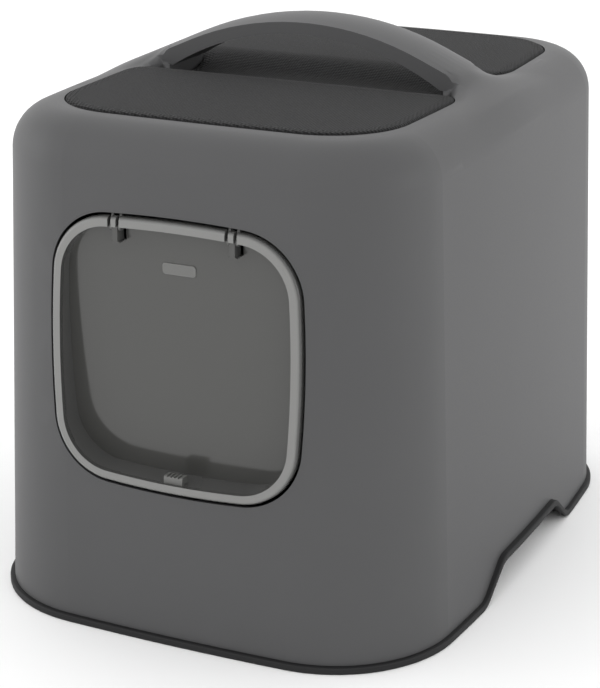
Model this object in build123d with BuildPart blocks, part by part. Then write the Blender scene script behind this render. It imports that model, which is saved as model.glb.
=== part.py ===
from build123d import *
from math import cos, hypot, radians, sin, sqrt, tan
import os

# Cat litter box with hood: pan, hood with a bridge handle, roof mat and swing flap.
# Millimetres. X is the width, the flap looks towards -Y, Z is up, and the origin
# is on the floor in the middle of the pan's flange.

# Driving dimensions ---------------------------------------------------------
HOOD_X, HOOD_Y = 200.0, 266.2  # half width and half depth of the hood at its foot
HOOD_ARCS = (2180.0, 2370.0, 102.0)  # radii of its front, side and corner arcs
DRAFT = 2.2  # degrees that the walls lean inwards
WALL = 2.8  # hood wall
SEAM = 6.0  # height of the hood's bottom edge
ROOF = 407.5  # height of the roof
SHOULDER = 36.0  # radius between wall and roof

OVER, DEEP, SUNK = 20.0, 60.0, 40.0  # how far cutting and trimming bodies run past the walls

ARCH_RISE = 27.0  # how far the foot lifts at mid-side, for the fingers
ARCH_TOP, ARCH_FOOT = 66.0, 102.0  # half lengths of the raised and of the whole arch
ARCH_BEND = 25.0

HANDLE_TOP = 456.0  # crown of the bridge handle
HANDLE_ARC = 260.0  # radius along its crown
HANDLE_SLOPE = 23.8  # degrees that its straight legs fall
HANDLE_LEG = 95.0
LEG_BEND, LEG_OVER = 34.0, 0.4  # rounding of its legs into the side walls
HANDLE_HALF = 28.0  # half its depth, front to back
HANDLE_CROWN = 3.5  # how much higher the crown is than the edges
HANDLE_EDGE = 8.0
GRIP_TOP, GRIP_ARC = 442.9, 225.0  # underside of the handle

MAT_X, MAT_Y = 148.3, 212.9  # half sizes of the roof recess that holds the mat
MAT_ARCS = (2756.0, 2966.0, 64.5)
NOTCH_X, NOTCH_Y = 124.0, 29.5  # the recess stops here at each handle foot
NOTCH_STEP, NOTCH_SLANT = 7.0, 61.7  # and flares out beside it at this many degrees
NOTCH_OUT = 40.0
MAT_GAP, ROOF_LIP = 0.8, 2.0
MAT_TOP = ROOF + 1.5
FABRIC, BACKING = 3.5, 2.0
DIP, DIP_BOTTOM, DIP_TOP, DIP_BEND = 12.0, 14.0, 46.0, 60.0  # hand trough

FLAP_X, FLAP_Z = 106.9, 107.7  # half sizes of the flap
FLAP_ARCS = (861.0, 864.0, 50.3)
FLAP_MID = 234.0  # height of the flap's centre
FLAP_GAP = 2.3
PROUD = 3.0  # the bead stands out of the hood by this
BEAD = 8.0  # width and depth of the bead
BEAD_BEND = 3.5
FLAP_WALL = 1.6
PANE = 1.4
PANE_TOP = (-245.0, 325.0)  # y and z of a point high on the pane's front
PANE_TILT = 2.1  # degrees, the pane's foot lies deeper in

AXIS_Y, AXIS_Z = -250.4, 332.0  # flap hinge axis, along X
PIN_R, PIN_FIT = 1.5, 0.06
HINGE_X, EAR_SPACE = 49.5, 3.6
EAR, EAR_R, EAR_SLOT = 2.0, 3.2, 2.8
KNUCKLE_R, KNUCKLE_DEEP = 3.4, 9.6
EAR_FIT, EAR_BEND = 0.02, 342.0
BASE, BASE_X, BASE_GAP = 3.0, 13.0, 0.05
BASE_LOW, BASE_HIGH = 347.0, 361.0
PLATE, PLATE_H, PLATE_Z = (28.5, 9.2), 0.8, 302.0
NUB_X, NUB_DEEP, NUB_H, NUB_Y = 16.0, 9.0, 6.0, -261.0
NUB_RIB, NUB_RIBS, NUB_GAP = 1.6, 4, 0.05
SLOT_DROP, TAB_DROP = 11.5, 12.5  # the ear slots and the tabs reach this far below the axis
SLOT_Y, SLOT_LONG, SLOT_UP = 12.0, 32.0, 10.0  # the slots' reach before, along and above it

SEAT = 0.3  # running gap between hood and tray
RIM = 4.0  # the tray's flange stands out of the hood by this
RIB_OUT, RIB_IN, RIB_H = 4.8, 7.0, 6.0  # upstand that locates the hood
PAN_X, PAN_Y = 165.0, 231.0  # half sizes of the pan's floor
PAN_FLOOR, PAN_TOP, PAN_FLARE = 3.0, 110.0, 21.0
PAN_BEND, PAN_INNER = 14.0, 2.0  # rounding at its floor, and how much less inside
PAN_ARCS = (1500.0, 1700.0, 80.0)
PAN_WALL = 2.5
FOOT_X, FOOT_Y, FOOT_R = 120.0, 180.0, 12.0

FILTER_Y = 125.0  # middle of the odour filter
FILTER_X2, FILTER_Y2, FILTER_H = 131.0, 91.0, 8.0
FILTER_WALL = 2.0
VENTS, VENT_STEP = 9, 13.0
AIR_SHORT, AIR_SLOT, FRAME_IN = 20.0, 5.0, 5.6  # the cover's slots and the room inside its frame

os.makedirs("parts", exist_ok=True)
LEAN = tan(radians(DRAFT))


# Outlines --------------------------------------------------------------------
def outline(plane, half_u, half_v, arcs, inset=0.0):
    """Closed outline of bulging sides and tangent corner arcs, moved inwards by inset."""
    arc_v, arc_u, corner = arcs
    low = half_v - arc_v  # centre of the arc that crosses the v axis is (0, low)
    left = half_u - arc_u  # centre of the arc that crosses the u axis is (left, 0)
    span = hypot(left, low)
    along = ((arc_v - corner) ** 2 - (arc_u - corner) ** 2 + span**2) / (2 * span)
    aside = sqrt((arc_v - corner) ** 2 - along**2)
    du, dv = left / span, -low / span
    cu = du * along - dv * aside
    cv = low + dv * along + du * aside
    if cu + cv < 0 or cu < 0 or cv < 0:
        cu = du * along + dv * aside
        cv = low + dv * along - du * aside
    grow_v = (arc_v - inset) / hypot(cu, cv - low)
    grow_u = (arc_u - inset) / hypot(cu - left, cv)
    u1, v1 = cu * grow_v, low + (cv - low) * grow_v
    u2, v2 = left + (cu - left) * grow_u, cv * grow_u
    mid = (corner - inset) / sqrt(2)
    um, vm = cu + mid, cv + mid
    u0, v0 = half_u - inset, half_v - inset
    with BuildSketch(plane) as sketch:
        with BuildLine():
            ThreePointArc((-u1, v1), (0, v0), (u1, v1))
            ThreePointArc((u1, v1), (um, vm), (u2, v2))
            ThreePointArc((u2, v2), (u0, 0), (u2, -v2))
            ThreePointArc((u2, -v2), (um, -vm), (u1, -v1))
            ThreePointArc((u1, -v1), (0, -v0), (-u1, -v1))
            ThreePointArc((-u1, -v1), (-um, -vm), (-u2, -v2))
            ThreePointArc((-u2, -v2), (-u0, 0), (-u2, v2))
            ThreePointArc((-u2, v2), (-um, vm), (-u1, v1))
        make_face()
    return sketch.sketch


def foot_outline(inset, height):
    """The hood's footprint, without draft."""
    return outline(Plane.XY.offset(height), HOOD_X, HOOD_Y, HOOD_ARCS, inset)


def flap_outline(inset, depth):
    """The flap's outline on the upright plane y = -depth."""
    plane = Plane(origin=(0, -depth, FLAP_MID), x_dir=(1, 0, 0), z_dir=(0, -1, 0))
    return outline(plane, FLAP_X, FLAP_Z, FLAP_ARCS, inset)


# Solids that several pieces share ----------------------------------------------
def hood_form(inset, top, shoulder):
    """Solid of the hood's outer shape, moved inwards by inset."""
    ends = [foot_outline(inset + (z - SEAM) * LEAN, z) for z in (-SEAM, top)]
    with BuildPart() as form:
        loft(sections=ends, ruled=True)
        if shoulder:
            fillet(form.faces().sort_by(Axis.Z)[-1].edges(), shoulder)
    return form.part


def below_arch(lift):
    """Solid of everything under the foot line that rises at mid-side."""
    far = HOOD_Y + 20
    with BuildPart() as form:
        with BuildSketch(Plane.YZ):
            with BuildLine():
                FilletPolyline(
                    (-far, lift),
                    (-ARCH_FOOT, lift),
                    (-ARCH_TOP, lift + ARCH_RISE),
                    (ARCH_TOP, lift + ARCH_RISE),
                    (ARCH_FOOT, lift),
                    (far, lift),
                    radius=ARCH_BEND,
                )
                Polyline((far, lift), (far, -OVER), (-far, -OVER), (-far, lift))
            make_face()
        extrude(amount=HOOD_X + OVER, both=True)
    return form.part


def foot_band(outset, inset, low, high):
    """Band round the foot, from low to high above the arched foot line."""
    with BuildPart() as form:
        extrude(foot_outline(-outset, -1), amount=70)
        if inset is not None:
            extrude(foot_outline(inset, -1), amount=70, mode=Mode.SUBTRACT)
        add(below_arch(high), mode=Mode.INTERSECT)
        add(below_arch(low), mode=Mode.SUBTRACT)
    return form.part


def handle_limit(shrink):
    """Solid that rounds the handle's legs into the side walls."""
    slope = radians(HANDLE_SLOPE)
    apex = HANDLE_TOP - HANDLE_ARC * (1 - cos(slope)) + HANDLE_ARC * sin(slope) * tan(slope)
    apex += (LEG_OVER - shrink) / cos(slope)
    foot = ROOF - 2 * SHOULDER
    foot_x = HOOD_X - (foot - SEAM) * LEAN - LEG_OVER - shrink
    knee_x = (foot_x + (foot - apex) * LEAN) / (1 - tan(slope) * LEAN)
    knee = apex - knee_x * tan(slope)
    with BuildPart() as form:
        with BuildSketch(Plane.XZ) as side:
            with BuildLine():
                Polyline(
                    (-foot_x, foot),
                    (-knee_x, knee),
                    (0, apex),
                    (knee_x, knee),
                    (foot_x, foot),
                    close=True,
                )
            make_face()
            fillet(side.vertices().filter_by(lambda v: abs(abs(v.X) - knee_x) < 1), LEG_BEND - shrink)
        extrude(amount=HANDLE_HALF + 10, both=True)
    return form.part


def handle_form(shrink):
    """Solid ridge over the whole roof, whose top is the handle's arched crown."""
    slope = radians(HANDLE_SLOPE)
    x1, z1 = HANDLE_ARC * sin(slope), HANDLE_TOP - HANDLE_ARC * (1 - cos(slope))
    x2, z2 = x1 + HANDLE_LEG * cos(slope), z1 - HANDLE_LEG * sin(slope)
    half, drop = HANDLE_HALF - shrink, -HANDLE_CROWN - shrink
    with BuildPart() as form:
        with BuildLine() as path:
            Line((-x2, 0, z2), (-x1, 0, z1))
            ThreePointArc((-x1, 0, z1), (0, 0, HANDLE_TOP), (x1, 0, z1))
            Line((x1, 0, z1), (x2, 0, z2))
        start = Plane(origin=path.line @ 0, x_dir=(0, 1, 0), z_dir=path.line % 0)
        with BuildSketch(start) as section:
            with BuildLine():
                ThreePointArc((-half, drop), (0, -shrink), (half, drop))
                Polyline((half, drop), (half + 2, -DEEP), (-half - 2, -DEEP), (-half, drop))
            make_face()
            corners = section.vertices().filter_by(lambda v: abs(abs(v.Y) - half) < 0.5)
            fillet(corners, HANDLE_EDGE - shrink)
        sweep(path=path.line)
        add(handle_limit(shrink), mode=Mode.INTERSECT)
    return form.part


def below_grip(lift):
    """Solid of the hand space under the handle."""
    radius = GRIP_ARC + lift
    middle = GRIP_TOP - GRIP_ARC
    with BuildPart() as form:
        with BuildSketch(Plane.XZ.offset(-HANDLE_HALF * 2)):
            with Locations((0, middle)):
                Circle(radius)
            with Locations((0, ROOF - radius)):
                Rectangle(2 * radius, 2 * radius, mode=Mode.SUBTRACT)
        extrude(amount=HANDLE_HALF * 4)
    return form.part


def roof_form(grow, low, high):
    """Solid of the roof recess, notched beside the handle's feet, made larger by grow."""
    slant = radians(NOTCH_SLANT)
    x1, y1 = NOTCH_X + grow, NOTCH_Y - grow
    x2 = NOTCH_X + NOTCH_STEP + grow * (1 / sin(slant) - 1 / tan(slant))
    x3 = MAT_X + 30
    y3 = y1 + (x3 - x2) * tan(slant)
    with BuildPart() as form:
        extrude(outline(Plane.XY.offset(low), MAT_X, MAT_Y, MAT_ARCS, -grow), amount=high - low)
        with BuildSketch(Plane.XY.offset(low)):
            for side in (-1, 1):
                with BuildLine():
                    Polyline(
                        (side * x1, y1),
                        (side * x2, y1),
                        (side * x3, y3),
                        (side * x3, -y3),
                        (side * x2, -y1),
                        (side * x1, -y1),
                        close=True,
                    )
                make_face()
        extrude(amount=high - low, mode=Mode.SUBTRACT)
        upright = form.edges().filter_by(Axis.Z)
        fillet(upright.filter_by(lambda e: abs(e.center().X) > x2 + 9 and abs(e.center().Y) < y3), NOTCH_OUT)
    return form.part


def dipped(low, high, flat_top=False):
    """Sheet between two levels that follows the hand trough across the roof."""
    far = MAT_Y + 30
    top_dip = 0 if flat_top else DIP

    def line(level, dip):
        return [
            (-far, level),
            (-DIP_TOP, level),
            (-DIP_BOTTOM, level - dip),
            (DIP_BOTTOM, level - dip),
            (DIP_TOP, level),
            (far, level),
        ]

    with BuildPart() as form:
        with BuildSketch(Plane.YZ):
            with BuildLine():
                if flat_top:
                    Line((-far, high), (far, high))
                else:
                    FilletPolyline(*line(high, top_dip), radius=DIP_BEND)
                FilletPolyline(*line(low, DIP), radius=DIP_BEND)
                Line((-far, low), (-far, high))
                Line((far, low), (far, high))
            make_face()
        extrude(amount=MAT_X + 30, both=True)
    return form.part


def save(part, name):
    """Label a finished piece and write it to its own file."""
    part.label = name
    export_step(part, f"parts/{name}.step")


# Tray ------------------------------------------------------------------------
def pan_outline(inset, height):
    """The pan's outline at a height, its wall flaring outwards as it rises."""
    flare = PAN_FLARE * (height - PAN_FLOOR) / (PAN_TOP - PAN_FLOOR)
    return outline(Plane.XY.offset(height), PAN_X, PAN_Y, PAN_ARCS, inset - flare)


with BuildPart() as pan_outside:
    loft(sections=[pan_outline(0, PAN_FLOOR), pan_outline(0, PAN_TOP)], ruled=True)
    fillet(pan_outside.faces().sort_by(Axis.Z)[0].edges(), PAN_BEND)
with BuildPart() as pan_inside:
    loft(
        sections=[
            pan_outline(PAN_WALL, PAN_FLOOR + PAN_WALL),
            pan_outline(PAN_WALL, PAN_TOP + 10),
        ],
        ruled=True,
    )
    fillet(pan_inside.faces().sort_by(Axis.Z)[0].edges(), PAN_BEND - PAN_INNER)

FLANGE_TOP = SEAM - SEAT
with BuildPart() as litter_tray:
    add(foot_band(RIM, None, FLANGE_TOP - 2.7, FLANGE_TOP))
    add(foot_band(RIM, 1.0, 0, FLANGE_TOP))
    fillet(
        litter_tray.edges().filter_by(
            lambda e: abs(e.center().X) > HOOD_X + 3 or abs(e.center().Y) > HOOD_Y + 3
        ),
        1.4,
    )
    add(foot_band(-RIB_OUT, RIB_IN, FLANGE_TOP, FLANGE_TOP + RIB_H))
    add(pan_outside.part)
    lip = pan_outline(-2.5, PAN_TOP - 4)
    extrude(lip, amount=4)
    add(pan_inside.part, mode=Mode.SUBTRACT)
save(litter_tray.part, "litter_tray")

for side_x, side_name in ((-1, "left"), (1, "right")):
    for side_y, end_name in ((-1, "front"), (1, "rear")):
        with BuildPart() as tray_foot:
            with BuildSketch():
                with Locations((side_x * FOOT_X, side_y * FOOT_Y)):
                    Circle(FOOT_R)
            extrude(amount=PAN_FLOOR)
            fillet(tray_foot.faces().sort_by(Axis.Z)[0].edges(), 1.0)
        save(tray_foot.part, f"tray_foot_{end_name}_{side_name}")


# Hood ------------------------------------------------------------------------
with BuildPart() as doorway:
    extrude(flap_outline(-FLAP_GAP, HOOD_Y + OVER), amount=-(HOOD_Y + PANE_TOP[0] + 2 * OVER))

with BuildPart() as handle_core:
    add(handle_form(WALL))
    add(below_grip(WALL), mode=Mode.SUBTRACT)

with BuildPart() as roof_lip:
    add(roof_form(ROOF_LIP, ROOF - 30, ROOF - 1))
    add(dipped(ROOF - SEAM, ROOF, flat_top=True), mode=Mode.INTERSECT)

with BuildPart() as hood_shell:
    add(hood_form(0, ROOF, SHOULDER))
    add(handle_form(0))
    add(below_grip(0), mode=Mode.SUBTRACT)
    add(hood_form(WALL, ROOF - WALL, SHOULDER - WALL), mode=Mode.SUBTRACT)
    add(handle_core.part, mode=Mode.SUBTRACT)
    add(roof_lip.part)
    add(roof_form(0, ROOF - SUNK, ROOF), mode=Mode.SUBTRACT)
    add(below_arch(SEAM), mode=Mode.SUBTRACT)
    add(doorway.part, mode=Mode.SUBTRACT)
save(hood_shell.part, "hood_shell")


# Roof panel, filter and mat -----------------------------------------------------
PANEL_TOP = MAT_TOP - FABRIC - BACKING
LEDGE = ROOF - SEAM  # underside of the recess's lip, where the panel seats
PANEL, PANEL_FIT = 2.2, 0.4
FRAME_LOW = LEDGE - PANEL - FILTER_H - 1.2

with BuildPart() as raised:
    add(roof_form(-PANEL_FIT, ROOF - SUNK, ROOF))
    add(dipped(LEDGE - 0.5, PANEL_TOP), mode=Mode.INTERSECT)

with BuildPart() as roof_panel:
    add(roof_form(8.0, ROOF - SUNK, ROOF))
    add(dipped(LEDGE - PANEL, LEDGE), mode=Mode.INTERSECT)
    add(raised.part)
    with BuildSketch(Plane.XY.offset(FRAME_LOW)):
        with Locations((0, FILTER_Y)):
            Rectangle(FILTER_X2 + 5, FILTER_Y2 + 5)
            Rectangle(FILTER_X2 + 1, FILTER_Y2 + 1, mode=Mode.SUBTRACT)
    extrude(amount=LEDGE - PANEL - FRAME_LOW)
    with BuildSketch(Plane.XY.offset(LEDGE - PANEL - 1)):
        with Locations((0, FILTER_Y)):
            with GridLocations(VENT_STEP, 0, VENTS, 1):
                SlotOverall(FILTER_Y2 - AIR_SHORT, AIR_SLOT, rotation=90)
    extrude(amount=OVER, mode=Mode.SUBTRACT)
save(roof_panel.part, "roof_panel")

with BuildPart() as charcoal_filter:
    with BuildSketch(Plane.XY.offset(FRAME_LOW + 0.4)):
        with Locations((0, FILTER_Y)):
            RectangleRounded(FILTER_X2, FILTER_Y2, 4)
    extrude(amount=FILTER_H)
save(charcoal_filter.part, "charcoal_filter")

with BuildPart() as filter_cover:
    with BuildSketch(Plane.XY.offset(FRAME_LOW)):
        with Locations((0, FILTER_Y)):
            RectangleRounded(FILTER_X2 + 11, FILTER_Y2 + 11, 6)
            with GridLocations(VENT_STEP, 0, VENTS, 1):
                SlotOverall(FILTER_Y2 - AIR_SHORT, AIR_SLOT, rotation=90, mode=Mode.SUBTRACT)
    extrude(amount=-FILTER_WALL)
    with BuildSketch(Plane.XY.offset(FRAME_LOW - FILTER_WALL)):
        with Locations((0, FILTER_Y)):
            RectangleRounded(FILTER_X2 + 11, FILTER_Y2 + 11, 6)
            Rectangle(FILTER_X2 + FRAME_IN, FILTER_Y2 + FRAME_IN, mode=Mode.SUBTRACT)
    extrude(amount=FILTER_WALL + 5)
save(filter_cover.part, "filter_cover")

with BuildPart() as mat_backing:
    add(roof_form(-MAT_GAP, ROOF - SUNK, ROOF + 5))
    add(dipped(PANEL_TOP, PANEL_TOP + BACKING), mode=Mode.INTERSECT)
save(mat_backing.part, "mat_backing")

with BuildPart() as mat_fabric:
    add(roof_form(-MAT_GAP, ROOF - SUNK, ROOF + 5))
    add(dipped(PANEL_TOP + BACKING, MAT_TOP), mode=Mode.INTERSECT)
save(mat_fabric.part, "mat_fabric")


# Flap ------------------------------------------------------------------------
def hood_wall_y(height, inset=0.0):
    """Y of the hood's front wall at a height, in the middle of its width."""
    return inset - HOOD_Y + (height - SEAM) * LEAN


tilt = radians(PANE_TILT)
pane_face = Plane(
    origin=(0, *PANE_TOP), x_dir=(1, 0, 0), z_dir=(0, -cos(tilt), -sin(tilt))
)
pane_back = pane_face.offset(-PANE)
FLAP_FRONT = HOOD_Y + PROUD + 5

with BuildPart() as flap_pocket:
    extrude(flap_outline(BEAD, FLAP_FRONT), amount=-DEEP)
    split(bisect_by=pane_face, keep=Keep.TOP)

with BuildPart() as flap_outside:
    extrude(flap_outline(-1, FLAP_FRONT), amount=-DEEP)
    extrude(flap_outline(BEAD - FLAP_WALL, FLAP_FRONT), amount=-DEEP, mode=Mode.SUBTRACT)
    add(hood_form(BEAD - PROUD, ROOF, 0), mode=Mode.INTERSECT)

with BuildPart() as flap_pane:
    extrude(flap_outline(0, FLAP_FRONT), amount=-DEEP)
    add(hood_form(-PROUD, ROOF, 0), mode=Mode.INTERSECT)
    fillet(flap_pane.faces().sort_by(Axis.Y)[0].edges(), BEAD_BEND)
    split(bisect_by=pane_back, keep=Keep.TOP)
    add(flap_pocket.part, mode=Mode.SUBTRACT)
    add(flap_outside.part, mode=Mode.SUBTRACT)
    for middle in (-HINGE_X, HINGE_X):
        with BuildSketch(Plane.YZ.offset(middle)):
            with Locations((AXIS_Y, AXIS_Z)):
                Circle(KNUCKLE_R)
            with Locations((AXIS_Y - KNUCKLE_R, AXIS_Z)):
                Rectangle(KNUCKLE_DEEP, TAB_DROP, align=(Align.MIN, Align.MAX))
        extrude(amount=EAR_SPACE, both=True)
        for ear_x in (middle - EAR_SPACE, middle + EAR_SPACE):
            with Locations((ear_x, AXIS_Y - SLOT_Y, AXIS_Z - SLOT_DROP)):
                standing = (Align.CENTER, Align.MIN, Align.MIN)
                Box(EAR_SLOT, SLOT_LONG, SLOT_DROP + SLOT_UP, align=standing, mode=Mode.SUBTRACT)
        with BuildSketch(Plane.YZ.offset(middle)):
            with Locations((AXIS_Y, AXIS_Z)):
                Circle(PIN_R + PIN_FIT)
        extrude(amount=EAR_SPACE + EAR_SLOT / 2, both=True, mode=Mode.SUBTRACT)
save(flap_pane.part, "flap_pane")

plate_drop = PANE_TOP[1] - PLATE_Z
plate_plane = Plane(
    origin=(0, PANE_TOP[0] + plate_drop * tan(tilt), PLATE_Z),
    x_dir=(1, 0, 0),
    z_dir=pane_face.z_dir,
)
with BuildPart() as flap_plate:
    with BuildSketch(plate_plane):
        RectangleRounded(*PLATE, PLATE[1] * 0.3)
    extrude(amount=PLATE_H)
    fillet(flap_plate.faces().sort_by(Axis.Y)[0].edges(), PLATE_H / 2)
save(flap_plate.part, "flap_plate")

nub_floor = FLAP_MID - FLAP_Z + BEAD + NUB_GAP
with BuildPart() as flap_nub:
    with Locations((0, NUB_Y, nub_floor)):
        Box(NUB_X, NUB_DEEP, NUB_H, align=(Align.CENTER, Align.MIN, Align.MIN))
    fillet(flap_nub.edges().filter_by(Axis.X).group_by(Axis.Z)[-1], 1.5)
    with Locations((0, NUB_Y, nub_floor + NUB_H)):
        with GridLocations(NUB_RIB * 2, 1, NUB_RIBS, 1):
            Box(NUB_RIB, NUB_DEEP * 3, NUB_RIB, mode=Mode.SUBTRACT)
save(flap_nub.part, "flap_nub")


# Hinges ----------------------------------------------------------------------
def inner_wall_y(height, gap):
    """Y just behind the hood's front wall where the brackets sit."""
    bulge = (HINGE_X + BASE_X / 2) ** 2 / (2 * HOOD_ARCS[0])
    return hood_wall_y(height, WALL + gap) + bulge


for side, side_name in ((-1, "left"), (1, "right")):
    middle = side * HINGE_X
    with BuildPart() as hinge_bracket:
        with BuildSketch(Plane.YZ.offset(middle)):
            Polygon(
                (inner_wall_y(BASE_LOW, BASE_GAP), BASE_LOW),
                (inner_wall_y(BASE_HIGH, BASE_GAP), BASE_HIGH),
                (inner_wall_y(BASE_HIGH, BASE_GAP + BASE), BASE_HIGH),
                (inner_wall_y(BASE_LOW, BASE_GAP + BASE), BASE_LOW),
                align=None,
            )
        extrude(amount=BASE_X / 2, both=True)
        for ear_x in (middle - EAR_SPACE, middle + EAR_SPACE):
            with BuildSketch(Plane.YZ.offset(ear_x)):
                Polygon(
                    (AXIS_Y - EAR_R, AXIS_Z),
                    (inner_wall_y(EAR_BEND, 0.3), EAR_BEND),
                    (inner_wall_y(BASE_LOW, 0.3), BASE_LOW),
                    (inner_wall_y(BASE_HIGH, 1), BASE_HIGH),
                    (inner_wall_y(BASE_HIGH, BASE_GAP + BASE), BASE_HIGH),
                    (AXIS_Y + EAR_R, BASE_LOW + 5),
                    (AXIS_Y + EAR_R, AXIS_Z),
                    align=None,
                )
                with Locations((AXIS_Y, AXIS_Z)):
                    Circle(EAR_R)
                    Circle(PIN_R + EAR_FIT, mode=Mode.SUBTRACT)
            extrude(amount=EAR / 2, both=True)
    save(hinge_bracket.part, f"hinge_bracket_{side_name}")

    with BuildPart() as hinge_pin:
        with BuildSketch(Plane.YZ.offset(middle)):
            with Locations((AXIS_Y, AXIS_Z)):
                Circle(PIN_R)
        extrude(amount=EAR_SPACE + EAR / 2, both=True)
        chamfer(hinge_pin.edges(), 0.3)
    save(hinge_pin.part, f"hinge_pin_{side_name}")
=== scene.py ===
from math import atan2, cos, radians, sin, tan, tau

import bmesh
import bpy
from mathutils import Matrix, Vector


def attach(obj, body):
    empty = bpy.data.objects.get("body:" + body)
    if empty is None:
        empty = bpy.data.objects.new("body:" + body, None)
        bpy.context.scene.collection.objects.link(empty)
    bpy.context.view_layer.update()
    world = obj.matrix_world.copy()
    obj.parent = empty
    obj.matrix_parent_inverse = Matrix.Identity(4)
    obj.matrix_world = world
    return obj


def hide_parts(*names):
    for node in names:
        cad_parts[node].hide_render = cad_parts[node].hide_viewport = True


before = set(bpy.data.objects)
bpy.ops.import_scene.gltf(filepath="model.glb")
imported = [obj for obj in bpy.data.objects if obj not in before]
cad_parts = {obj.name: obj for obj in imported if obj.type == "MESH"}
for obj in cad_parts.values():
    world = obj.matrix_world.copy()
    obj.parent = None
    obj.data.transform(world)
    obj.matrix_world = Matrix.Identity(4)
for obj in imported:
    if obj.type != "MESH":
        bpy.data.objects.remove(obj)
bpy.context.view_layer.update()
MM = 0.001

# ---------------------------------------------------------------- materials --


def srgb(code):
    """A hex colour as linear RGBA."""
    channels = [int(code[i:i + 2], 16) / 255 for i in (0, 2, 4)]
    return [c / 12.92 if c <= 0.04045 else ((c + 0.055) / 1.055) ** 2.4 for c in channels] + [1.0]


def add_node(tree, kind, links=(), **settings):
    """Adds a node; links are (input, source socket), settings are properties or inputs."""
    node = tree.nodes.new(kind)
    for key, value in settings.items():
        if hasattr(node, key):
            setattr(node, key, value)
        else:
            node.inputs[int(key[1:]) if key[0] == "_" else key.replace("_", " ")].default_value = value
    for key, source in links:
        tree.links.new(source, node.inputs[key])
    return node


def new_material(name, **sockets):
    """A node material with its tree, shader and object coordinates."""
    material = bpy.data.materials.new(name)
    material.use_nodes = True
    tree = material.node_tree
    shader = tree.nodes["Principled BSDF"]
    for key, value in sockets.items():
        shader.inputs[key.replace("_", " ")].default_value = value
    coords = tree.nodes.new("ShaderNodeTexCoord").outputs["Object"]
    return material, tree, shader, coords


def grained_plastic(name, code, roughness, grain_mm, depth_mm, mottle=0.03, **sockets):
    """Moulded plastic with a spark-eroded grain and a faint unevenness of tone."""
    material, tree, shader, coords = new_material(name, **sockets)
    cloud = add_node(tree, "ShaderNodeTexNoise", [("Vector", coords)], Scale=14.0, Detail=3.0)
    tone = add_node(tree, "ShaderNodeMapRange", [("Value", cloud.outputs["Fac"])],
                    To_Min=1 - mottle, To_Max=1 + mottle)
    base = add_node(tree, "ShaderNodeHueSaturation", [("Value", tone.outputs["Result"])],
                    Color=srgb(code))
    tree.links.new(base.outputs["Color"], shader.inputs["Base Color"])
    grain = add_node(tree, "ShaderNodeTexNoise", [("Vector", coords)], Scale=1000 / grain_mm, Detail=2.0)
    gloss = add_node(tree, "ShaderNodeMapRange", [("Value", grain.outputs["Fac"])],
                     To_Min=roughness - 0.05, To_Max=roughness + 0.05)
    tree.links.new(gloss.outputs["Result"], shader.inputs["Roughness"])
    bump = add_node(tree, "ShaderNodeBump", [("Height", grain.outputs["Fac"])],
                    Strength=0.5, Distance=depth_mm * MM)
    tree.links.new(bump.outputs["Normal"], shader.inputs["Normal"])
    return material


# Moulded polypropylene of the hood: mid grey, evenly dull, with a grain felt more than seen.
hood_pp = grained_plastic("polypropylene_hood_grey_grained", "434344", 0.5, 0.9, 0.05, 0.04, IOR=1.49)
# Moulded polypropylene of the pan: near-black anthracite, duller than the hood.
tray_pp = grained_plastic("polypropylene_pan_anthracite", "1C1C1D", 0.65, 1.0, 0.05, 0.05,
                          Specular_IOR_Level=0.3)
# Moulded polypropylene inside, plain mould finish: the roof panel and the filter's cover.
inner_pp = grained_plastic("polypropylene_inner_parts_plain", "4E4E50", 0.42, 1.6, 0.03, 0.03, IOR=1.49)
# Thermoplastic rubber feet: black, dull, slightly uneven where they have stood.
foot_rubber = grained_plastic("thermoplastic_rubber_feet", "1B1B1B", 0.8, 1.4, 0.12, 0.12, IOR=1.52)
# Polyoxymethylene hinge brackets: mid grey, smooth and waxy.
bracket_pom = grained_plastic("polyoxymethylene_hinge_bracket", "545453", 0.35, 2.0, 0.02, 0.02, IOR=1.48)


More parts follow.
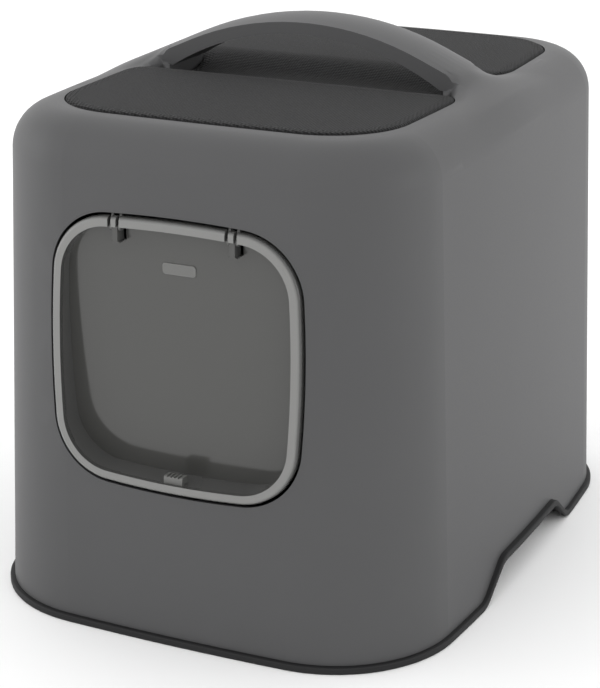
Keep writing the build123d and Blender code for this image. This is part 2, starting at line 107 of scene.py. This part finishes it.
def weave(name, code, pitch_mm, depth_mm, lean=0.0):
    """Polyester mesh fabric: rows of round knots, leaning if stretched, over a darker ground."""
    material, tree, shader, coords = new_material(name, Roughness=0.85, Specular_IOR_Level=0.2)
    shader.inputs["Sheen Weight"].default_value = 0.05
    shader.inputs["Sheen Roughness"].default_value = 0.5
    split = add_node(tree, "ShaderNodeSeparateXYZ", [("Vector", coords)])
    waves = []
    for across, along in (("X", "Y"), ("Y", "X")):
        shift = add_node(tree, "ShaderNodeMath", [(0, split.outputs[along])],
                         operation="MULTIPLY", _1=lean)
        place = add_node(tree, "ShaderNodeMath",
                         [(0, split.outputs[across]), (1, shift.outputs[0])], operation="ADD")
        turns = add_node(tree, "ShaderNodeMath", [(0, place.outputs[0])],
                         operation="MULTIPLY", _1=tau / (pitch_mm * MM))
        wave = add_node(tree, "ShaderNodeMath", [(0, turns.outputs[0])], operation="COSINE")
        waves.append(wave.outputs[0])
    knots = add_node(tree, "ShaderNodeMath", [(0, waves[0]), (1, waves[1])], operation="ADD")
    height = add_node(tree, "ShaderNodeMapRange", [("Value", knots.outputs[0])],
                      From_Min=-2.0, From_Max=2.0)
    yarn = add_node(tree, "ShaderNodeTexNoise", [("Vector", coords)], Scale=350.0, Detail=3.0)
    worn = add_node(tree, "ShaderNodeTexNoise", [("Vector", coords)], Scale=25.0, Detail=4.0)
    tone = add_node(tree, "ShaderNodeMath", [(0, height.outputs[0]), (1, yarn.outputs["Fac"])],
                    operation="MULTIPLY")
    blend = add_node(tree, "ShaderNodeMapRange", [("Value", tone.outputs[0])],
                     From_Min=0.0, From_Max=0.6, To_Min=0.1, To_Max=2.3)
    area = add_node(tree, "ShaderNodeMapRange", [("Value", worn.outputs["Fac"])], To_Min=0.9, To_Max=1.1)
    value = add_node(tree, "ShaderNodeMath", [(0, blend.outputs[0]), (1, area.outputs[0])],
                     operation="MULTIPLY")
    base = add_node(tree, "ShaderNodeHueSaturation", [("Value", value.outputs[0])], Color=srgb(code))
    tree.links.new(base.outputs["Color"], shader.inputs["Base Color"])
    bump = add_node(tree, "ShaderNodeBump", [("Height", height.outputs[0])],
                    Strength=0.9, Distance=depth_mm * MM)
    tree.links.new(bump.outputs["Normal"], shader.inputs["Normal"])
    return material


# Knitted polyester mesh of the mat: dark grey knots 2.3 mm apart, dull with a little sheen.
mat_mesh = weave("polyester_mesh_mat_charcoal", "1A1A1B", 2.3, 0.7)
# The same mesh stretched over the rolled border: more open and darker, its rows aslant.
mat_border = weave("polyester_mesh_mat_stretched_border", "151516", 3.0, 1.0, 0.35)
# Needled carbon fleece of the odour filter: black and fibrous.
carbon_fleece = grained_plastic("activated_carbon_fleece", "141414", 0.95, 3.0, 0.6, 0.3)
# Foamed rubber under the mat: black, fine open cells.
foam_rubber = grained_plastic("foamed_rubber_backing", "202020", 0.85, 1.2, 0.2, 0.1)


def clear_plastic(name, code, milk, roughness, edge=1.0):
    """Clear moulded plastic, tinted; milk stops the light; edge is painted shade, darkening the colour of
    what faces sideways.
    """
    material, tree, shader, coords = new_material(name, IOR=1.57, Transmission_Weight=1 - milk)
    flow = add_node(tree, "ShaderNodeTexNoise", [("Vector", coords)], Scale=9.0, Detail=2.0)
    gloss = add_node(tree, "ShaderNodeMapRange", [("Value", flow.outputs["Fac"])],
                     To_Min=roughness * 0.7, To_Max=roughness * 1.3)
    tree.links.new(gloss.outputs["Result"], shader.inputs["Roughness"])
    facing = tree.nodes.new("ShaderNodeTexCoord").outputs["Normal"]
    split = add_node(tree, "ShaderNodeSeparateXYZ", [("Vector", facing)])
    square = add_node(tree, "ShaderNodeMath", [(0, split.outputs["Y"]), (1, split.outputs["Y"])],
                      operation="MULTIPLY")
    # Painted shade: the colour darkens towards faces that turn sideways, down to the edge factor (below 1
    # only on the bead).
    tone = add_node(tree, "ShaderNodeMapRange", [("Value", square.outputs[0])],
                    From_Min=0.45, From_Max=0.95, To_Min=edge, To_Max=1.0)
    base = add_node(tree, "ShaderNodeHueSaturation", [("Value", tone.outputs["Result"])], Color=srgb(code))
    tree.links.new(base.outputs["Color"], shader.inputs["Base Color"])
    bump = add_node(tree, "ShaderNodeBump", [("Height", flow.outputs["Fac"])],
                    Strength=0.3, Distance=0.2 * MM)
    tree.links.new(bump.outputs["Normal"], shader.inputs["Normal"])
    return material


# Smoky clear styrene acrylonitrile of the pane: glossy, greyed, a little milky.
pane_san = clear_plastic("styrene_acrylonitrile_smoky_pane", "4A4A48", 0.75, 0.12)
# The pane's own rim wall, seen edge-on through itself: painted light, a paler copy of the pane's plastic
# that lifts the shade band along the dish's wall.
wall_san_painted_light = clear_plastic("styrene_acrylonitrile_rim_wall_painted_light", "50504F", 0.9, 0.15)
# The same plastic on the bead, where it is thick: a painted highlight, its pale colour standing for the
# light the rounding catches; its sideways faces get painted shade.
bead_san_painted_highlight_and_shade = clear_plastic("styrene_acrylonitrile_bead_painted_highlight_and_shade", "949492", 0.6, 0.15, 0.3)
# The blank plate on the pane and the grip below it: thick too, moulded with a satin face.
plate_san = clear_plastic("styrene_acrylonitrile_satin_plate", "6C6C6A", 0.8, 0.35)

# Drawn steel pin: bright with fine scratches along its length, 0.2 mm apart.
pin_steel, tree, shader, coords = new_material("drawn_stainless_steel_pin", Metallic=1.0)
shader.inputs["Base Color"].default_value = srgb("C2C2C0")
lines = add_node(tree, "ShaderNodeMapping", [("Vector", coords)], Scale=(50, 5000, 5000))
scratch = add_node(tree, "ShaderNodeTexNoise", [("Vector", lines.outputs["Vector"])], Scale=1.0)
gloss = add_node(tree, "ShaderNodeMapRange", [("Value", scratch.outputs["Fac"])], To_Min=0.2, To_Max=0.4)
tree.links.new(gloss.outputs["Result"], shader.inputs["Roughness"])

finishes = {
    "litter_tray": tray_pp, "tray_foot": foot_rubber, "hood_shell": hood_pp, "roof_panel": inner_pp,
    "filter_cover": inner_pp, "charcoal_filter": carbon_fleece, "mat_backing": foam_rubber,
    "mat_fabric": mat_mesh, "flap_pane": pane_san, "flap_plate": plate_san, "flap_nub": plate_san,
    "hinge_bracket": bracket_pom, "hinge_pin": pin_steel,
}
for name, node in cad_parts.items():
    finish = next(f for start, f in finishes.items() if name.startswith(start))
    for slot in node.material_slots:
        slot.link = "OBJECT"
        slot.material = finish

# ------------------------------------------------------------ shared mesh work --
SAME_WAY = 0.85  # how alike a face's direction and a CAD normal must be to belong together


def merged_copy(node):
    """The node's mesh as one joined skin, and the CAD's own normals by corner."""
    mesh = node.data
    normals = {}
    for polygon in mesh.polygons:
        for corner in polygon.loop_indices:
            place = tuple(round(c, 5) for c in mesh.vertices[mesh.loops[corner].vertex_index].co)
            normals.setdefault(place, []).append(mesh.corner_normals[corner].vector.copy())
    bm = bmesh.new()
    bm.from_mesh(mesh)
    bmesh.ops.remove_doubles(bm, verts=bm.verts, dist=0.002 * MM)
    return bm, normals


def finished(bm, name, body, materials, normals=None, shaped=None, sharp=35):
    """Turns the bmesh into a piece on a body; the CAD's normals stay where its skin does."""
    mesh = bpy.data.meshes.new(name)
    bm.to_mesh(mesh)
    bm.free()
    mesh.shade_smooth()
    mesh.set_sharp_from_angle(angle=radians(sharp))
    for material in materials:
        mesh.materials.append(material)
    if normals:
        fitted = []
        for polygon in mesh.polygons:
            for corner in polygon.loop_indices:
                place = mesh.vertices[mesh.loops[corner].vertex_index].co
                known = list(normals.get(tuple(round(c, 5) for c in place), []))
                if shaped and shaped(place):
                    known.append(shaped(place))
                best = max(known, key=polygon.normal.dot, default=None)
                good = best is not None and polygon.normal.dot(best) > SAME_WAY
                fitted.append(best if good else mesh.corner_normals[corner].vector.copy())
        mesh.normals_split_custom_set(fitted)
    piece = bpy.data.objects.new(name, mesh)
    bpy.context.collection.objects.link(piece)
    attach(piece, body)
    return piece


# ---------------------------------------------------------------------- hood --
# The handle's legs run out over the rounded edge of the roof, whose centre line is
# EDGE_X from the middle at mid-side, EDGE_Z high, and bows with the side wall.
ROOF, EDGE_R = 407.5, 36.0
EDGE_X, EDGE_Z, SIDE_ARC = 149.93, ROOF - EDGE_R, 2355.0
LEG_X, LEG_Z, LEG_SLOPE = 105.0, 433.9, radians(23.8)
NOTCH_X, NOTCH_Y, NOTCH_SLANT = 131.0, 29.5, radians(61.7)
CROWN, CROWN_HALF = 3.5, 28.0
SHOULDER = 17.0  # half width of the leg's top, before its sides fall
SPREAD = 108.0  # how far from the middle the leg's foot runs out
RUN_OUT = 26.0  # how softly the leg's ridge runs out into the wall
FOOT_FROM, FOOT_FULL = 126.0, 137.0  # the skin starts to differ from the CAD's, and differs fully
FOOT_SOFT = 146.0  # from here on the foot has its softest shape
STEP = 3.0  # spacing of the cuts that let the skin bend


def smooth(low, high, value):
    """0 below low, 1 above high, with a soft change between."""
    t = min(max((value - low) / (high - low), 0.0), 1.0)
    return t * t * (3 - 2 * t)


def edge_x(y):
    """Distance of the rounded edge's centre line from the middle."""
    return EDGE_X - y * y / (2 * SIDE_ARC)


def turn_of(x, y, z):
    """Angle round the rounded edge, 0 on the flat of the roof and upright at its inner end."""
    return atan2(max(x - edge_x(y), 0.0), max(z - EDGE_Z, 0.01))


def leg_height(x, turn):
    """Height of the leg's ridge over the roof or its rounded edge, leg and wall mixed softly."""
    if turn == 0:
        return LEG_Z - (x - LEG_X) * tan(LEG_SLOPE) - ROOF
    reach = LEG_Z - (EDGE_X - LEG_X) * tan(LEG_SLOPE) - EDGE_Z
    leg = reach * cos(LEG_SLOPE) / cos(turn - LEG_SLOPE)
    wall = EDGE_R / max(sin(turn), 0.01)
    mix = max(RUN_OUT - abs(leg - wall), 0.0) / RUN_OUT
    return max(min(leg, wall) - mix * mix * RUN_OUT / 4 - EDGE_R, 0.0)


def leg_foot(x, y, turn):
    """The blended skin of the right-hand leg's foot at a place on the roof or its rounded edge."""
    out = min(NOTCH_Y + max(x - NOTCH_X, 0) * tan(NOTCH_SLANT), SPREAD)
    near = min(max((abs(y) - SHOULDER) / (out - SHOULDER), 0.0), 1.0)
    soft = smooth(NOTCH_X, FOOT_SOFT, x)
    fall = (1 - soft) * near ** 2.5 + soft * smooth(0.0, out, abs(y))
    height = leg_height(x, turn)
    height -= (1 - soft) * min(CROWN, height) * (min(abs(y), CROWN_HALF) / CROWN_HALF) ** 2
    height *= 1 - fall
    if turn == 0:
        return Vector((x, y, ROOF + height))
    reach = EDGE_R + height
    return Vector((edge_x(y) + reach * sin(turn), y, EDGE_Z + reach * cos(turn)))


def foot_normal(place):
    """The outward direction of the blended skin at a place on it, or None away from a foot."""
    x, y, z = place / MM
    side = 1 if x > 0 else -1
    x = abs(x)
    if x < FOOT_FULL or abs(y) > SPREAD or z < EDGE_Z or z < ROOF - 0.3 and x < edge_x(y):
        return None
    turn = turn_of(x, y, z)
    if turn == 0:
        along = leg_foot(x + 0.4, y, 0) - leg_foot(x - 0.4, y, 0)
    else:
        along = leg_foot(x + 0.4, y, turn + 0.01) - leg_foot(x - 0.4, y, max(turn - 0.01, 0))
    aside = leg_foot(x, y + 0.4, turn) - leg_foot(x, y - 0.4, turn)
    normal = along.cross(aside).normalized()
    return Vector((side * normal.x, normal.y, normal.z))


def outside_foot(face):
    """True for a face of the hood's outer skin round a handle foot."""
    middle = face.calc_center_median() / MM
    x, y, z = abs(middle.x), middle.y, middle.z
    if x < FOOT_FROM - 4 or abs(y) > SPREAD + STEP or z < EDGE_Z + 1:
        return False
    edge = edge_x(y)
    if x <= edge and z < ROOF - 0.05:
        return False
    from_edge = Vector((max(x - edge, 0), 0, z - EDGE_Z))
    if x > edge and from_edge.length < EDGE_R - 0.6:
        return False
    side = 1 if middle.x > 0 else -1
    normal = Vector((side * face.normal.x, face.normal.y, face.normal.z))
    return normal.dot(from_edge.normalized()) > 0.2 or (normal.y * y > 0 and abs(normal.y) > 0.5)


bm, cad_normals = merged_copy(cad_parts["hood_shell"])
rows = [*range(-36, -14, 2), *range(-14, 15), *range(16, 37, 2)]
cuts = [((0, row * STEP, 0), (0, 1, 0)) for row in rows]
cuts += [((side * x, 0, 0), (1, 0, 0)) for side in (-1, 1) for x in range(116, 188, 3)]
cuts += [((0, 0, z), (0, 0, 1)) for z in range(374, 440, 3)]
for point, direction in cuts:
    near = set()
    for face in bm.faces:
        if outside_foot(face):
            near.update([face], face.edges, face.verts)
    bmesh.ops.bisect_plane(bm, geom=list(near), plane_co=Vector(point) * MM,
                           plane_no=Vector(direction), dist=0.02 * MM)
moved = {v for f in bm.faces if outside_foot(f) for v in f.verts}
for v in moved:
    x, y, z = v.co / MM
    side = 1 if x > 0 else -1
    share = smooth(FOOT_FROM, FOOT_FULL, abs(x))
    blended = leg_foot(abs(x), y, turn_of(abs(x), y, z))
    blended.x *= side
    v.co = v.co.lerp(blended * MM, share)
bmesh.ops.remove_doubles(bm, verts=list(moved), dist=0.05 * MM)
hood = finished(bm, "hood_moulding", "hood", [hood_pp], cad_normals, foot_normal)
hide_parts("hood_shell")

# ----------------------------------------------------------------------- mat --
# The fabric is one sheet laid over the foam, its border rolled down into the recess.
ROLL, BORDER = 4.5, 9.0
bm, _ = merged_copy(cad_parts["mat_fabric"])
bmesh.ops.dissolve_limit(bm, angle_limit=radians(0.6), verts=bm.verts, edges=bm.edges)
top = [f for f in bm.faces if f.normal.z > 0.7]
for face in bmesh.ops.inset_region(bm, faces=top, thickness=BORDER * MM, use_even_offset=True)["faces"]:
    face.material_index = 1
border = [e for e in bm.edges if len(e.link_faces) == 2
          and max(f.normal.z for f in e.link_faces) > 0.7
          and abs(min(f.normal.z for f in e.link_faces)) < 0.3]
bmesh.ops.bevel(bm, geom=border, offset=ROLL * MM, offset_type="OFFSET", segments=5, profile=0.5,
                affect="EDGES", material=-1, clamp_overlap=True)
bmesh.ops.triangulate(bm, faces=bm.faces)
mat = finished(bm, "mesh_mat", "hood", [mat_mesh, mat_border])
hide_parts("mat_fabric")

# ---------------------------------------------------------------------- flap --
# One clear moulding: its bead, thick and rounded, has a painted highlight, paler than the pane behind it.
# The hinge tabs below the bead are as thin as the pane, and look like it.
BEAD_DEEP = 4.5  # the bead's rounded front
HINGE_X, TAB_HALF, TAB_TOP = 49.5, 9.0, 331.0
FRONT_Y, FRONT_Z = -266.2, 6.0  # the hood's front at mid-width, at its bottom edge
FRONT_LEAN, FRONT_ARC, PROUD = tan(radians(2.2)), 2180.0, 3.0


def depth_in_flap(place):
    """How far a place lies behind the bead's front."""
    x, y, z = place / MM
    return y - (FRONT_Y - PROUD + (z - FRONT_Z) * FRONT_LEAN + x * x / (2 * FRONT_ARC))


bm, flap_normals = merged_copy(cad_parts["flap_pane"])
for offset in (0.0, 1.2, 2.4):  # the front bows, so one flat cut can't follow the bead
    bmesh.ops.bisect_plane(bm, geom=bm.verts[:] + bm.edges[:] + bm.faces[:], dist=0.005 * MM,
                           plane_co=Vector((0, FRONT_Y - PROUD + BEAD_DEEP + offset, FRONT_Z)) * MM,
                           plane_no=Vector((0, 1, -FRONT_LEAN)))
for face in bm.faces:
    middle = face.calc_center_median()
    in_tab = abs(abs(middle.x) - HINGE_X * MM) < TAB_HALF * MM and middle.z < TAB_TOP * MM
    in_bead = depth_in_flap(middle) < BEAD_DEEP and not (in_tab and middle.z > TAB_TOP * MM / 2)
    # Faces turning sideways outside the bead take the rim wall's paler copy: painted light over the shade
    # band there.
    face.material_index = 1 if in_bead else 2 if abs(face.normal.y) < 0.7 else 0
flap = finished(bm, "flap_moulding", "flap", [pane_san, bead_san_painted_highlight_and_shade, wall_san_painted_light], flap_normals)
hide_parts("flap_pane")

# -------------------------------------------------------------------- stage --
# A pale floor, an even white surround and a soft lamp on either side.
floor_mesh = bpy.data.meshes.new("floor")
bm = bmesh.new()
bmesh.ops.create_grid(bm, x_segments=1, y_segments=1, size=12)
bm.to_mesh(floor_mesh)
bm.free()
floor = bpy.data.objects.new("floor", floor_mesh)
bpy.context.collection.objects.link(floor)
pale, tree, shader, coords = new_material("studio_floor_white_paint", Roughness=0.9)
shader.inputs["Base Color"].default_value = srgb("FAFAFA")
floor_mesh.materials.append(pale)

scene = bpy.context.scene
scene.view_settings.view_transform = "Standard"
world = bpy.data.worlds.new("studio")
scene.world = world
world.use_nodes = True
surround = world.node_tree.nodes["Background"]
surround.inputs["Color"].default_value = (1, 1, 1, 1)
surround.inputs["Strength"].default_value = 1.25

SOFTBOX = 2.2  # side of each lamp's square
BOX_MIDDLE = Vector((0, 0, 0.25))
softboxes = [("left_softbox", (-2.6, -0.9, 0.7), 13), ("right_softbox", (2.8, 0.5, 0.25), 11)]
for name, place, power in softboxes:
    lamp = bpy.data.lights.new(name, "AREA")
    lamp.size = SOFTBOX
    lamp.energy = power
    softbox = bpy.data.objects.new(name, lamp)
    bpy.context.collection.objects.link(softbox)
    softbox.location = place
    softbox.rotation_euler = (BOX_MIDDLE - Vector(place)).to_track_quat("-Z", "Y").to_euler()

camera_data = bpy.data.cameras.new("camera")
camera = bpy.data.objects.new("camera", camera_data)
bpy.context.collection.objects.link(camera)
camera.location = (0.7221, -1.5521, 0.7589)
aim = Vector((-0.0088, -0.0154, 0.1706)) - camera.location
camera.rotation_euler = aim.to_track_quat("-Z", "Y").to_euler()
camera_data.sensor_fit = "VERTICAL"
camera_data.sensor_height = 36
camera_data.lens = 108.9
camera_data.clip_end = 60
scene.camera = camera
